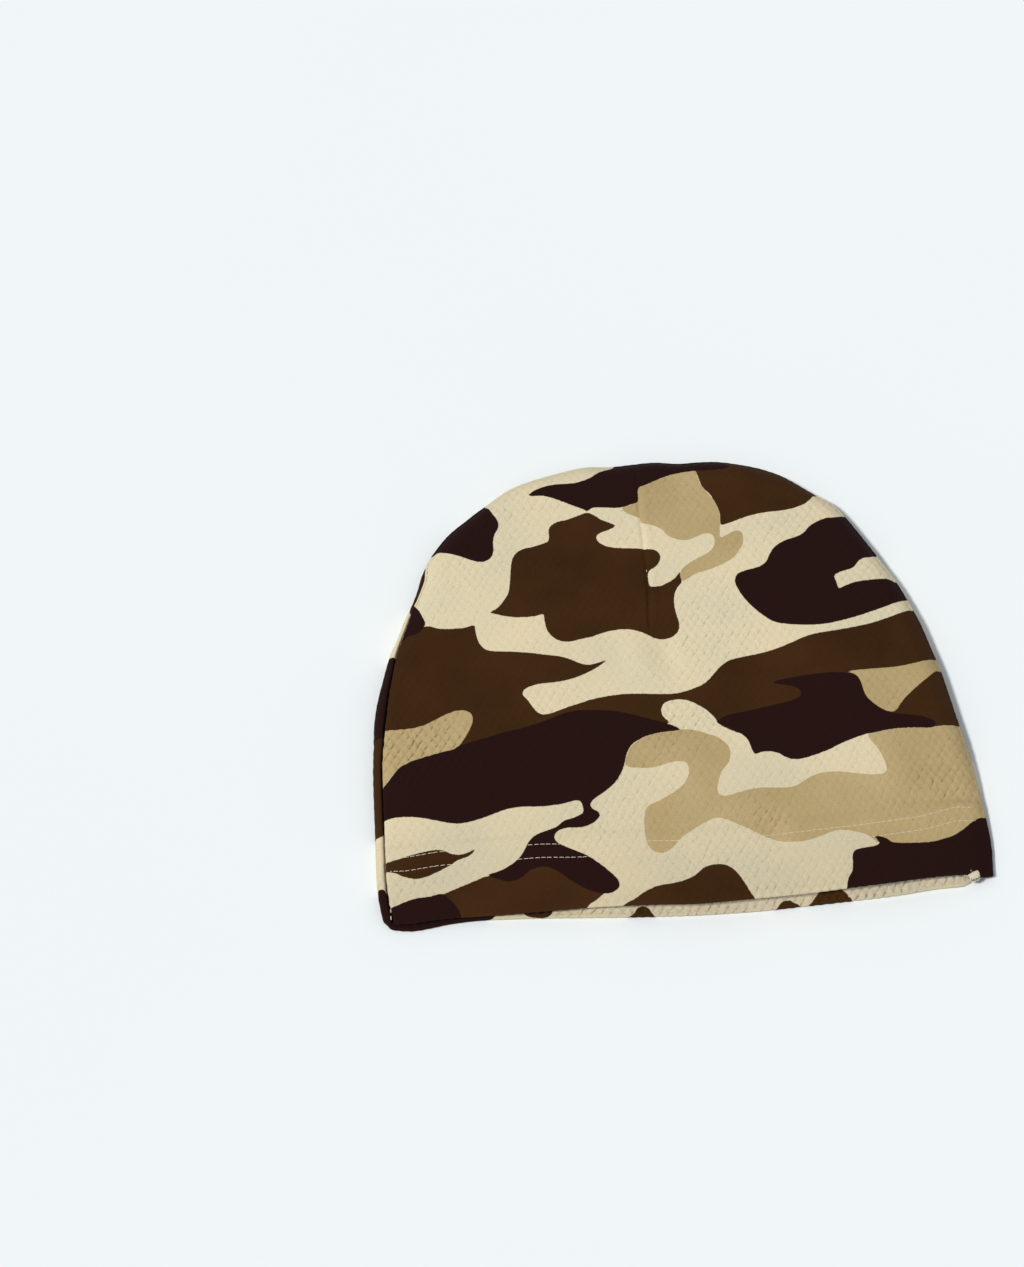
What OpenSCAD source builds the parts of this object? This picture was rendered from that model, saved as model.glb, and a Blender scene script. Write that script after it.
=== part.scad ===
// Pull-on skull cap of textured stretch knit, lying flat on its back panel.
// X runs across the cap, Y from the mouth to the crown and Z up from the table.

/* [Cap] */
// Width of the cap at its widest, laid flat
cap_w = 250; // [230:5:270]
// Height of the cap from the mouth to the crown, laid flat
cap_h = 214; // [195:1:230]
// How much each side draws in at the mouth
mouth_draw = 1.7; // [0:0.1:4]
// How far the hem's corners stand above its middle
hem_rise = 6.5; // [3:0.5:9]

/* [Cloth] */
// Thickness of one layer of the knit
cloth_t = 1; // [0.8:0.1:1.2]
// Gap between two layers that are folded together
layer_gap = 0.1; // [0.05:0.05:0.2]
// Depth of the hem's turn-up
hem_depth = 30; // [28:1:36]
// Width of the seam allowance, turned inside the cap
allowance = 6; // [4:0.5:8]

/* [Lie of the cap] */
// Height of the front panel's middle over the table, at the mouth
mouth_z = 10.5; // [9:0.5:14]
// Height of the front panel's middle over the table, at its highest
crown_z = 15; // [13:0.5:20]
// Distance from the edge over which the front panel rises
roll = 30; // [20:1:40]

/* [Dart] */
// Length of each crown dart
dart_len = 82; // [60:1:95]
// Width of the folded dart at the crown
dart_w = 14; // [8:1:18]

/* [Stitching] */
// Diameter of the sewing thread
thread_d = 0.4; // [0.3:0.05:0.5]
// Height of the hem's upper row of stitches over the fold
upper_row = 28.5; // [26:0.1:31]
// Distance between the hem's two rows
row_gauge = 5.7; // [4:0.1:6.5]
// Length of one turn of the looper thread along the hem
looper_pitch = 5; // [4:0.5:8]
// Turns of the overlock thread round the dome's seam
overlock_turns = 80; // [60:5:100]

/* [Hidden] */

// The outline is a superellipse over the hem: its powers across and up
power_x = 3;
power_y = 2.35;
half_w = cap_w / 2;
dome_h = cap_h - hem_rise;
// The mouth draws in below this height over the hem's corners
draw_y = 30;
// Steps round the dome, and along one half of the hem
dome_steps = 48;
hem_steps = 12;
// Middle of the rings that the front panel is laid out in
ring_y = 0.42 * cap_h;
// The rings of the front panel, as shares of the way out to its edge
rings = [0.25, 0.5, 0.7, 0.82, 0.9, 0.95, 0.98, 0.992];
// The rings of the turned-in edge, as shares of the way in
inner_rings = [0.33, 0.66, 1];
// Heights of the layers at the dome's seam: two of the back panel, then two of the front
fold_step = cloth_t + layer_gap;
back_top = cloth_t + fold_step;
flange_z = back_top + layer_gap / 2 + cloth_t / 2;
edge_z = flange_z + fold_step;
// The front panel reaches its full height this far from the mouth
rise_y = 90;
// How far up the sides the hem's turn-up takes to narrow to the seam allowance
corner_y = 60;
dart_tip_y = cap_h - dart_len;
dart_top_y = cap_h - allowance - 2;
// Grooves that the underside's stitches lie in
groove = thread_d + 0.2;
thread_step = 48;
clear = 0.05;
camo_brown = [0.30, 0.22, 0.15];
camo_tan = [0.62, 0.54, 0.40];
ecru = [0.87, 0.84, 0.76];

function smooth(t) = let (c = max(0, min(1, t))) c * c * (3 - 2 * c);
function unit(v) = v / max(norm(v), 1e-9);
function draw(y) = 1 - mouth_draw / half_w * pow(max(0, 1 - max(0, y - hem_rise) / draw_y), 2);
function signed_pow(v, p) = sign(v) * pow(abs(v), p);

// A point of the dome's outline, from the right corner (0) over the crown to the left one (180)
function dome(a) =
    let (y = hem_rise + dome_h * pow(sin(a), 2 / power_y))
    [half_w * signed_pow(cos(a), 2 / power_x) * draw(y), y];

corner_x = dome(0)[0];

// The hem's curve at x, and its point at a share from -1 (left) to 1 (right)
function hem_y(x) = hem_rise * pow(x / corner_x, 2);
function hem(s) = let (x = corner_x * sin(90 * s)) [x, hem_y(x)];

// The closed outline: the dome, then the hem from left to right
dome_line = [for (i = [0:dome_steps]) dome(180 * i / dome_steps)];
hem_line = [for (i = [1 - hem_steps:hem_steps - 1]) hem(i / hem_steps)];
outline = concat(dome_line, hem_line);
count = len(outline);

// How much a column of the outline belongs to the hem: 1 on it, fading up the sides
function hemness(i) =
    i > dome_steps ? 1 : pow(max(0, 1 - (outline[i][1] - hem_rise) / corner_y), 2);

// Outward direction of the outline at column i
function outward(i) =
    let (d = outline[(i + 1) % count] - outline[(i + count - 1) % count])
    unit([d[1], -d[0]]);

// Where column i of the turned-in edge ends
function inner_end(i) =
    let (p = outline[i],
         inset_x = p[0] * (corner_x - allowance) / corner_x,
         fade = max(0, 1 - (p[1] - hem_rise) / corner_y))
    i > dome_steps ? [inset_x, p[1] + hem_depth]
    : fade > 0 ? [p[0] - sign(p[0]) * allowance, p[1] + hem_depth * fade]
    : p - allowance * outward(i);

inner_line = [for (i = [0:count - 1]) inner_end(i)];

// Distance in from the dome's seam, worked out from the outline's formula
function depth_in(x, y) =
    let (across = abs(x) / (half_w * draw(y)),
         up = max(0, y - hem_rise) / dome_h,
         level = pow(across, power_x) + pow(up, power_y))
    max(0, 1 - pow(level, 1 / 2.6)) * half_w;

// Height of the middle of the front panel's cloth
function front_z(x, y) =
    let (top = mouth_z + (crown_z - mouth_z) * smooth(y / rise_y),
         rise = sqrt(1 - pow(1 - min(1, depth_in(x, y) / roll), 2)))
    edge_z + (top - edge_z) * rise;

function on_front(p) = [p[0], p[1], front_z(p[0], p[1])];

// Upward direction of the front panel's cloth at a point
function front_up(p) =
    let (e = 0.5)
    unit([front_z(p[0] - e, p[1]) - front_z(p[0] + e, p[1]),
          front_z(p[0], p[1] - e) - front_z(p[0], p[1] + e), 2 * e]);

function over_front(p, lift) = on_front(p) + front_up(p) * lift;

// The middle of the cloth at column i of the folded edge, out from the fold by s and down by d
function edge_point(i, s, d) =
    let (p = outline[i] - outward(i) * (cloth_t / 2 + clear),
         z = i > dome_steps ? front_z(p[0], p[1]) : edge_z,
         q = p + outward(i) * s)
    [q[0], q[1], z - d];

// The middle of the cloth at column i of the turned-in edge, a share f of the way in
function inner_point(i, f) =
    let (a = edge_point(i, 0, fold_step),
         q = (1 - f) * [a[0], a[1]] + f * inner_line[i],
         z = front_z(q[0], q[1]) - fold_step)
    [q[0], q[1], flange_z + (max(z, flange_z) - flange_z) * hemness(i)];

middle = [0, ring_y];
front_rings = concat(
    [for (r = rings) [for (i = [0:count - 1]) on_front(middle + r * (outline[i] - middle))]],
    [[for (i = [0:count - 1]) edge_point(i, 0, 0)],
     [for (i = [0:count - 1]) edge_point(i, 0.3, fold_step / 2)],
     [for (i = [0:count - 1]) edge_point(i, 0, fold_step)]],
    [for (f = inner_rings) [for (i = [0:count - 1]) inner_point(i, f)]]);

// A sheet of cloth laid out in rings round a middle point, as one closed solid
module ring_sheet(centre, ring_points, thickness) {
    m = len(ring_points);
    n = len(ring_points[0]);
    function ring(k) = k < 0 ? [for (i = [0:n - 1]) centre] : ring_points[min(k, m - 1)];
    function normal(k, i) =
        let (round_way = ring(k)[(i + 1) % n] - ring(k)[(i + n - 1) % n],
             out_way = ring(k + 1)[i] - ring(k - 1)[i])
        unit(cross(out_way, round_way));
    function side(s) = concat([centre + [0, 0, s * thickness / 2]],
        [for (k = [0:m - 1], i = [0:n - 1]) ring(k)[i] + normal(k, i) * s * thickness / 2]);
    size = 1 + m * n;
    function at(k, i) = 1 + k * n + i % n;
    tops = concat(
        [for (i = [0:n - 1]) [0, at(0, i + 1), at(0, i)]],
        [for (k = [0:m - 2], i = [0:n - 1]) [at(k, i), at(k, i + 1), at(k + 1, i + 1)]],
        [for (k = [0:m - 2], i = [0:n - 1]) [at(k, i), at(k + 1, i + 1), at(k + 1, i)]]);
    bottoms = [for (f = tops) [f[2] + size, f[1] + size, f[0] + size]];
    rim = [for (i = [0:n - 1], h = [0, 1])
        let (a = at(m - 1, i), b = at(m - 1, i + 1))
        h == 0 ? [a, b, b + size] : [a, b + size, a + size]];
    polyhedron(points = concat(side(1), side(-1)), faces = concat(tops, bottoms, rim));
}

// A thread along a line of points
module thread(line, sides = 6) {
    n = len(line);
    r = thread_d / 2;
    function along(i) = unit(line[min(i + 1, n - 1)] - line[max(i - 1, 0)]);
    function across(i) =
        let (t = along(i), up = abs(t[2]) > 0.9 ? [0, 1, 0] : [0, 0, 1])
        unit(cross(up, t));
    points = [for (i = [0:n - 1], s = [0:sides - 1])
        let (u = across(i), v = cross(along(i), u), a = 360 * s / sides)
        line[i] + r * (cos(a) * u + sin(a) * v)];
    walls = [for (i = [0:n - 2], s = [0:sides - 1], h = [0, 1])
        let (a = i * sides + s, b = i * sides + (s + 1) % sides)
        h == 0 ? [a, a + sides, b + sides] : [a, b + sides, b]];
    ends = [[for (s = [0:sides - 1]) s], [for (s = [0:sides - 1]) n * sides - 1 - s]];
    polyhedron(points = points, faces = concat(walls, ends));
}

// The hem's line at a height over the fold, from one seam to the other
function row_points(height, steps, inset = allowance) =
    [for (i = [0:steps])
        let (x = (corner_x - inset) * (2 * i / steps - 1))
        [x, hem_y(x) + height]];

// A zigzag between the two rows of stitches
looper_turns = round(2 * (corner_x - 2 * allowance) / looper_pitch);
looper_line = [for (i = [0:2 * looper_turns])
    let (x = (corner_x - 2 * allowance) * (i / looper_turns - 1),
         row = upper_row - (i % 2) * row_gauge)
    [x, hem_y(x) + row]];

// A flat ribbon along a line of points, drawn as an outline
module ribbon(line, width) {
    polygon(concat([for (p = line) p + [0, width / 2]],
                   [for (i = [len(line) - 1:-1:0]) line[i] - [0, width / 2]]));
}

// The straight channel of the dart's stitches on the underside
module dart_channel(width) {
    translate([-width / 2, dart_tip_y]) square([width, dart_top_y - dart_tip_y]);
}

// Moves the model so that its origin is under the middle of its box
module placed() {
    translate([0, -cap_h / 2, 0]) children();
}

module front_panel() {
    color(camo_tan) placed()
        ring_sheet([0, ring_y, front_z(0, ring_y)], front_rings, cloth_t);
}

module back_panel() {
    // the cloth's edge is turned in all round, and the two layers part behind the fold
    slit = [for (i = [0:count - 1]) outline[i] - outward(i) * cloth_t];
    color(camo_brown) placed() difference() {
        linear_extrude(back_top) polygon(outline);
        translate([0, 0, cloth_t]) linear_extrude(back_top) polygon(inner_line);
        translate([0, 0, cloth_t]) linear_extrude(layer_gap) polygon(slit);
        translate([0, 0, -1]) linear_extrude(1 + groove) {
            dart_channel(groove);
            for (height = [upper_row, upper_row - row_gauge])
                ribbon(row_points(height, thread_step), groove);
        }
    }
}

module front_dart_fold() {
    rows = 12;
    top_gap = cloth_t / 2 + clear + 0.25;
    function width(y) = dart_w * (y - dart_tip_y) / dart_len + 1;
    function corner(y, side, drop) =
        let (p = [side * width(y), y])
        on_front(p) - front_up(p) * (top_gap + drop);
    points = [for (i = [0:rows], c = [[0, 0], [1, 0], [1, 2 * cloth_t], [0, 2 * cloth_t]])
        corner(dart_tip_y + (dart_top_y - dart_tip_y) * i / rows, c[0], c[1])];
    walls = [for (i = [0:rows - 1], s = [0:3], h = [0, 1])
        let (a = 4 * i + s, b = 4 * i + (s + 1) % 4)
        h == 0 ? [a, b, b + 4] : [a, b + 4, a + 4]];
    ends = [[3, 2, 1, 0], [for (s = [0:3]) 4 * rows + s]];
    color(camo_tan) placed() polyhedron(points = points, faces = concat(walls, ends));
}

module back_dart_fold() {
    color(camo_brown) placed() translate([0, 0, cloth_t + clear])
        linear_extrude(2 * cloth_t)
            polygon([[0, dart_tip_y], [1, dart_tip_y], [dart_w, dart_top_y], [0, dart_top_y]]);
}

module front_dart_thread() {
    lift = (cloth_t + thread_d) / 2 + clear;
    steps = 24;
    color(ecru) placed() thread([for (i = [0:steps])
        over_front([0, dart_tip_y + (dart_top_y - dart_tip_y) * i / steps], lift)]);
}

module back_dart_thread() {
    color(ecru) placed() translate([0, 0, clear])
        linear_extrude(thread_d) dart_channel(thread_d);
}

module seam_needle_thread() {
    inset = 2.2;
    z = flange_z + (cloth_t + thread_d) / 2 + clear;
    color(ecru) placed() thread([for (i = [4:dome_steps - 4])
        let (p = outline[i] - outward(i) * inset) [p[0], p[1], z]], 4);
}

module seam_overlock_thread() {
    // each turn runs over the allowance, down its raw edge and back up
    first = 12;
    last = 180 - first;
    top = flange_z + (cloth_t + thread_d) / 2 + clear + thread_d;
    low = cloth_t + thread_d;
    stops = [[2.6, top], [allowance + 0.6, top], [allowance + 0.6, low], [allowance + 0.6, top]];
    n = 4 * overlock_turns;
    function point(i) =
        let (a = first + (last - first) * i / n,
             d = dome(a + 0.2) - dome(a - 0.2),
             stop = stops[i % 4],
             p = dome(a) - unit([d[1], -d[0]]) * stop[0])
        [p[0], p[1], stop[1]];
    color(ecru) placed() thread([for (i = [0:n]) point(i)], 3);
}

module front_hem_needle_thread(height) {
    lift = (cloth_t + thread_d) / 2 + clear;
    color(ecru) placed() thread([for (p = row_points(height, thread_step)) over_front(p, lift)]);
}

module front_hem_looper_thread() {
    drop = fold_step + (cloth_t + thread_d) / 2 + 0.3;
    color(ecru) placed() thread([for (p = looper_line) over_front(p, -drop)], 4);
}

module back_hem_needle_thread(height) {
    color(ecru) placed() translate([0, 0, clear]) linear_extrude(thread_d)
        ribbon(row_points(height, thread_step, allowance + 0.2), thread_d);
}

module back_hem_looper_thread() {
    z = back_top + thread_d / 2 + clear;
    color(ecru) placed() thread([for (p = looper_line) [p[0], p[1], z]], 4);
}

module hem_tack(side) {
    // a short zigzag that holds the seam allowance down at the mouth
    turns = 8;
    low = 5;
    high = 24;
    lift = (cloth_t + thread_d) / 2 + clear;
    color(ecru) placed() thread([for (i = [0:2 * turns])
        let (x = side * (corner_x - 5 + 1.5 * (i % 2)))
        over_front([x, hem_y(x) + low + (high - low) * i / (2 * turns)], lift)]);
}

front_panel();
back_panel();
front_dart_fold();
back_dart_fold();
front_dart_thread();
back_dart_thread();
seam_needle_thread();
seam_overlock_thread();
front_hem_needle_thread(upper_row);  // front_hem_needle_thread_upper
front_hem_needle_thread(upper_row - row_gauge);  // front_hem_needle_thread_lower
front_hem_looper_thread();
back_hem_needle_thread(upper_row);  // back_hem_needle_thread_upper
back_hem_needle_thread(upper_row - row_gauge);  // back_hem_needle_thread_lower
back_hem_looper_thread();
hem_tack(-1);  // left_hem_tack
hem_tack(1);  // right_hem_tack
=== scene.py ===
"""A pull-on skull cap of printed, textured stretch knit, lying flat on its back panel."""
import math

import bpy
import numpy as np
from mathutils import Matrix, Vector


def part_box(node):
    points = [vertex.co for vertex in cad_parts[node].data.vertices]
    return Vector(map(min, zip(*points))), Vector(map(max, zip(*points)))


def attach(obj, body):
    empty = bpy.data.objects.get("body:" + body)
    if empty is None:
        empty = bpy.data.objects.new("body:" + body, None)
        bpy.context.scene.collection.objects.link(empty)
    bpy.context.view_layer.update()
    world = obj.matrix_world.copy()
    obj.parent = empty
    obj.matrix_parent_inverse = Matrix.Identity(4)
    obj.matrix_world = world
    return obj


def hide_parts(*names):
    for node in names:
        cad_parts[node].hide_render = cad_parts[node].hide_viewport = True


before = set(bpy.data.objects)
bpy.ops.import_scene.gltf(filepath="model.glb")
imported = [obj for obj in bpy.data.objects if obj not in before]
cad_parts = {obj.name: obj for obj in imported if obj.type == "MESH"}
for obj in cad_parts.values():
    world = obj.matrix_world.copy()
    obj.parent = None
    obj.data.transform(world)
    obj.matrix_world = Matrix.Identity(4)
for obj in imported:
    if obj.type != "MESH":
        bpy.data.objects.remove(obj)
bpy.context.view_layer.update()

# The cap's own frame is in millimetres: x across from the dart, y up from the middle of the hem, z up
MM = 0.001
HEM_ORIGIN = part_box("back_panel")[0].y / MM

# ---- sizes
CLOTH = 1.0                       # thickness of one layer
FOLD_STEP = 1.1                   # from the middle of one folded layer to the next
FOLD_R = (CLOTH + FOLD_STEP) / 2  # outer radius of a fold
HEM_DEPTH = 30.0                  # depth of the hem's turn-up
ALLOWANCE = 6.0                   # width of the seam allowance
GAUGE = 5.7                       # distance between the hem's two rows of stitches
THREAD_R = 0.14
STITCH = 2.4                      # length of one of the front hem's stitches
PLAIN_STITCH = 2.7                # and of the dart's and the back hem's
EDGE_Z = 3.75                     # middle of the front's cloth where it meets the back
KNIT_X = 3.8                      # spacing of the knit's pebbles across, and of their rows
KNIT_Y = 2.8
CELL = 0.74                       # size of the panels' mesh cells
EDGE_CELL = 0.3                   # and near the dome's edge
SPLIT_Y = 168.0                   # where the sides end and the crown starts
MIDDLE = np.array([0, 92.0])      # where the loops of the panels' undersides run to
WRAP_IN = 3.2                     # how far in the back's flat cloth stops where it wraps
WRAP_R = 2.4                      # radius of the wrap's bend round the side
WRAP_TOP = 4.9                    # and its height there
SHUT_Z = 4.2                      # height of the front's hem under which the mouth is shut
ON_HEM = 0.02                     # how near the hem's fold a place of the rim is on it
LEFT_X = -60.0                    # the silhouette's left edge is beyond this

# the silhouette seen from above, from the hem's left corner to the crown, then down to the right
SILHOUETTE = [
    (-122.9, 6.5), (-123.9, 14), (-124.4, 23), (-124.1, 33), (-123.6, 46), (-122.4, 75),
    (-121.3, 87), (-120.5, 96.5), (-118.5, 107), (-115.2, 118), (-111.9, 128), (-108.3, 136),
    (-105, 143), (-99.3, 155), (-94, 169), (-89.5, 176), (-83, 184), (-74.6, 191), (-65, 198.2),
    (-55, 205), (-46, 208.5), (-32, 212), (-21, 213.8), (-10, 213), (0, 213.4), (9, 213.5),
    (19, 212), (28, 212), (36, 211.5), (45.5, 209.3), (54.5, 206.3), (63.5, 201.5),
    (69.7, 196.3), (75.7, 191.2), (82.4, 186), (87.3, 179), (93.2, 168), (97.3, 160),
    (100.5, 153.2), (103.8, 146.3), (107, 138), (109.2, 131.5), (111.5, 124), (114.4, 111),
    (116.8, 100), (118.6, 88), (120, 78), (121.9, 66), (123.8, 50), (124.7, 40), (125.6, 30),
    (125.9, 19), (124.8, 8)]
# the fold of the front's hem and of the back's
FRONT_HEM = [(-123, 6.2), (-118, 5), (-112, 4.5), (-105, 4.9), (-98, 5.3), (-92, 5.2),
             (-80, 4.9), (-66, 4.6), (-47, 4), (-38, 3.6), (-20, 2.4), (-12, 1.8), (6, 0.5),
             (26, 0.6), (45, 0.9), (64, 1.9), (83, 3.1), (105, 5), (113, 5.5), (119, 4.7),
             (124.6, 5.4)]
BACK_HEM = [(-123, 6), (-118, 3.4), (-111, 2.5), (-104, 3.2), (-96, 4.3), (-85, 4.8),
            (-76, 4.5), (-55, 3.3), (-41, 2.2), (-12, 0.2), (7, -0.7), (26, -1), (45, -0.5),
            (65, 0.2), (84, 1), (104, 2.6), (111, 2.7), (114, 3.8), (116, 5.4), (124, 10)]
# height of the upper row of stitches over the fold
UPPER_ROW = [(-120, 28), (-60, 28.7), (-40, 27.6), (0, 27.8), (30, 27), (60, 26.9), (75, 26.6),
             (95, 26.6), (112, 29), (124, 31)]
# height of the middle of the front's cloth along its hem
MOUTH = [(-124, 3.8), (-105, 4.1), (-80, 4.5), (-55, 6), (-30, 8), (0, 9.3), (50, 10),
         (85, 9.4), (106, 7.4), (117, 4.9), (125, 2.2)]
# how far the back's cloth wraps over the left edge onto the front, by height
WRAP = [(0, 4), (75, 4.1), (88, 4.7), (100, 5.4), (112, 4.8), (125, 3.9), (134, 3.3),
        (142, 2.8), (149, 1.9), (155, 2.1), (161, 2.4), (166, 1.6), (171, 0)]
# how far the back stops short of the right edge at the hem, where the front goes under it
TUCK = 8.0
TUCK_Y = (8, 53)
# where the knit stands out more: by how much, then the middle and reach of the place in x and y
STRONG_KNIT = [(1.7, -103, 20, 80, 14), (0.45, 5, 22, 84, 14), (0.2, 28, 28, 128, 18),
               (0.8, 37, 7, 35, 9), (0.5, 110, 10, 46, 7)]
# the line of the dart, x by y
DART = [(120, -2.8), (130, -2.5), (140, -1.5), (147, -1), (155, -0.8), (180, -0.8), (197, -0.5),
        (213, 0.3), (220, 0.5)]
DART_TIP = 131.0


def row_frame(points):
    """Points of the cap's frame, in the row frame and in metres."""
    return (np.asarray(points, float) + (0, HEM_ORIGIN, 0)) * MM


def smooth(t):
    t = np.clip(t, 0, 1)
    return t * t * (3 - 2 * t)


def bell(t):
    return np.exp(-np.square(t))


def tangents(x, y):
    """Slopes of the curve through the points that doesn't overshoot them."""
    step = np.diff(x)
    rise = np.diff(y) / step
    slopes = np.zeros(len(x))
    both = rise[:-1] * rise[1:] > 0
    a = 2 * step[1:] + step[:-1]
    b = step[1:] + 2 * step[:-1]
    with np.errstate(divide="ignore", invalid="ignore"):
        mean = (a + b) / (a / rise[:-1] + b / rise[1:])
    slopes[1:-1] = np.where(both, mean, 0)
    slopes[0] = rise[0]
    slopes[-1] = rise[-1]
    return slopes


def through(points):
    """A smooth function y(x) through points."""
    px, py = np.array(points, float).T
    slopes = tangents(px, py)

    def value(x):
        x = np.clip(x, px[0], px[-1])
        k = np.clip(np.searchsorted(px, x) - 1, 0, len(px) - 2)
        h = px[k + 1] - px[k]
        t = (x - px[k]) / h
        return (py[k] * (1 + 2 * t) * (1 - t) ** 2 + h * slopes[k] * t * (1 - t) ** 2
                + py[k + 1] * t * t * (3 - 2 * t) + h * slopes[k + 1] * t * t * (t - 1))
    return value


def spline(points, spans=6, closed=True):
    """A smooth line through points: a centripetal Catmull-Rom spline."""
    p = np.array(points, float)
    if closed:
        p = np.vstack([p[-1], p, p[0], p[1]])
    else:
        p = np.vstack([2 * p[0] - p[1], p, 2 * p[-1] - p[-2]])
    gaps = np.maximum(np.sqrt(np.linalg.norm(np.diff(p, axis=0), axis=1)), 1e-6)
    knots = np.concatenate([[0], np.cumsum(gaps)])
    out = []
    for i in range(1, len(p) - 2):
        t0, t1, t2, t3 = knots[i - 1:i + 3]
        t = np.linspace(t1, t2, spans, endpoint=False)[:, None]
        a1 = (t1 - t) / (t1 - t0) * p[i - 1] + (t - t0) / (t1 - t0) * p[i]
        a2 = (t2 - t) / (t2 - t1) * p[i] + (t - t1) / (t2 - t1) * p[i + 1]
        a3 = (t3 - t) / (t3 - t2) * p[i + 1] + (t - t2) / (t3 - t2) * p[i + 2]
        b1 = (t2 - t) / (t2 - t0) * a1 + (t - t0) / (t2 - t0) * a2
        b2 = (t3 - t) / (t3 - t1) * a2 + (t - t1) / (t3 - t1) * a3
        out.append((t2 - t) / (t2 - t1) * b1 + (t - t1) / (t2 - t1) * b2)
    if not closed:
        out.append(p[-2:-1])
    return np.vstack(out)


def lengths(line):
    return np.concatenate([[0], np.cumsum(np.linalg.norm(np.diff(line, axis=0), axis=1))])


def resample(line, shares):
    """Points at the given shares of a line's length."""
    s = lengths(line)
    at = np.asarray(shares) * s[-1]
    return np.stack([np.interp(at, s, line[:, k]) for k in range(line.shape[1])], -1)


def outward(line, closed=False):
    """The direction to the left of a line's travel in the plane."""
    if closed:
        d = np.roll(line, -1, axis=0) - np.roll(line, 1, axis=0)
    else:
        d = np.gradient(line, axis=0)
    n = np.stack([-d[:, 1], d[:, 0]], -1)
    return n / np.maximum(np.linalg.norm(n, axis=1), 1e-9)[:, None]


def segment_distance(points, line, chunk=3000):
    """Distance from each point to a line of segments."""
    a = line[:-1]
    d = line[1:] - a
    dd = np.maximum((d * d).sum(1), 1e-12)
    out = np.empty(len(points))
    for i in range(0, len(points), chunk):
        v = points[i:i + chunk, None] - a
        t = np.clip((v * d).sum(2) / dd, 0, 1)
        out[i:i + chunk] = np.sqrt(((v - t[..., None] * d) ** 2).sum(2).min(1))
    return out


def inside(points, line, chunk=6000):
    """Whether each point is inside a closed line."""
    x0, y0 = line[:-1].T
    x1, y1 = line[1:].T
    rise = np.where(y1 == y0, 1e-9, y1 - y0)
    out = np.empty(len(points), bool)
    for i in range(0, len(points), chunk):
        x = points[i:i + chunk, 0, None]
        y = points[i:i + chunk, 1, None]
        crosses = ((y0 > y) != (y1 > y)) & (x < x0 + (y - y0) / rise * (x1 - x0))
        out[i:i + chunk] = crosses.sum(1) % 2 == 1
    return out


# ---- shape
upper_row = through(UPPER_ROW)
front_hem = through(FRONT_HEM)
back_hem = through(BACK_HEM)
mouth_z = through(MOUTH)
wrap_width = through(WRAP)
dart_x = through(DART)
silhouette = resample(spline(SILHOUETTE, 8, closed=False), np.linspace(0, 1, 900))


def tucked(x, y):
    """How much of the tuck at the hem's right corner there is at a point."""
    return np.where(x > 0, 1 - smooth((y - TUCK_Y[0]) / (TUCK_Y[1] - TUCK_Y[0])), 0)


def knit_strength(x, y):
    """How strongly the knit stands out, which varies over the cloth."""
    slow = np.sin(x / 14 + 0.7 * np.sin(y / 19)) * np.sin(y / 16 - x / 40 + 1)
    strength = 0.62 + 0.2 * slow
    for more, at_x, across, at_y, up in STRONG_KNIT:
        strength = strength + more * bell((x - at_x) / across) * bell((y - at_y) / up)
    # along the hem too, and most on its turn-up
    strength = strength + 0.35 * bell(y / 9) * smooth((x + 60) / 30)
    return strength + 0.6 * smooth((2 - y) / 4) * smooth((x + 85) / 20)


def knit_phases(x, y):
    """Phases of the two slanting waves whose crests cross at the knit's pebbles."""
    x = (x + 0.5 * np.sin(x / 17 + y / 29) + 0.4 * np.sin(y / 13 - x / 31)
         + 0.34 * np.sin(x / 1.9 + 2.1 * np.sin(y / 3.7 + 1)))
    y = y + 0.3 * np.sin(y / 1.7 + 2.3 * np.sin(x / 4.1))
    across = 2 * math.pi * x / KNIT_X
    up = math.pi * y / KNIT_Y
    return across - up, across + up


def knit_relief(x, y, side=1):
    """Height of the knit's staggered pebbles; side is -1 on the back, which is seen reversed."""
    rising, falling = knit_phases(side * x, y)
    return knit_strength(x, y) * (0.55 * np.cos(rising) + 0.35 * np.cos(falling))


def rolled(d):
    """How far the front has risen, at a distance in from the silhouette."""
    def arc(radius):
        return np.sqrt(1 - (1 - np.clip(d / radius, 0, 1)) ** 2)
    return 0.55 * arc(9) + 0.45 * arc(42)


def front_base(x, y, d):
    """Height of the middle of the cloth of the cap's top side, without its small features."""
    swell = 0.5 * np.sin(x / 21 + 0.6) * np.sin(y / 26 + 1.1) + 0.35 * np.sin(x / 13 - y / 17)
    edge = EDGE_Z - 1.7 * tucked(x, y)
    inner = edge + (12.6 + swell - edge) * rolled(d)
    k = smooth(y / 85)
    return mouth_z(x) * (1 - k) + inner * k


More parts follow.
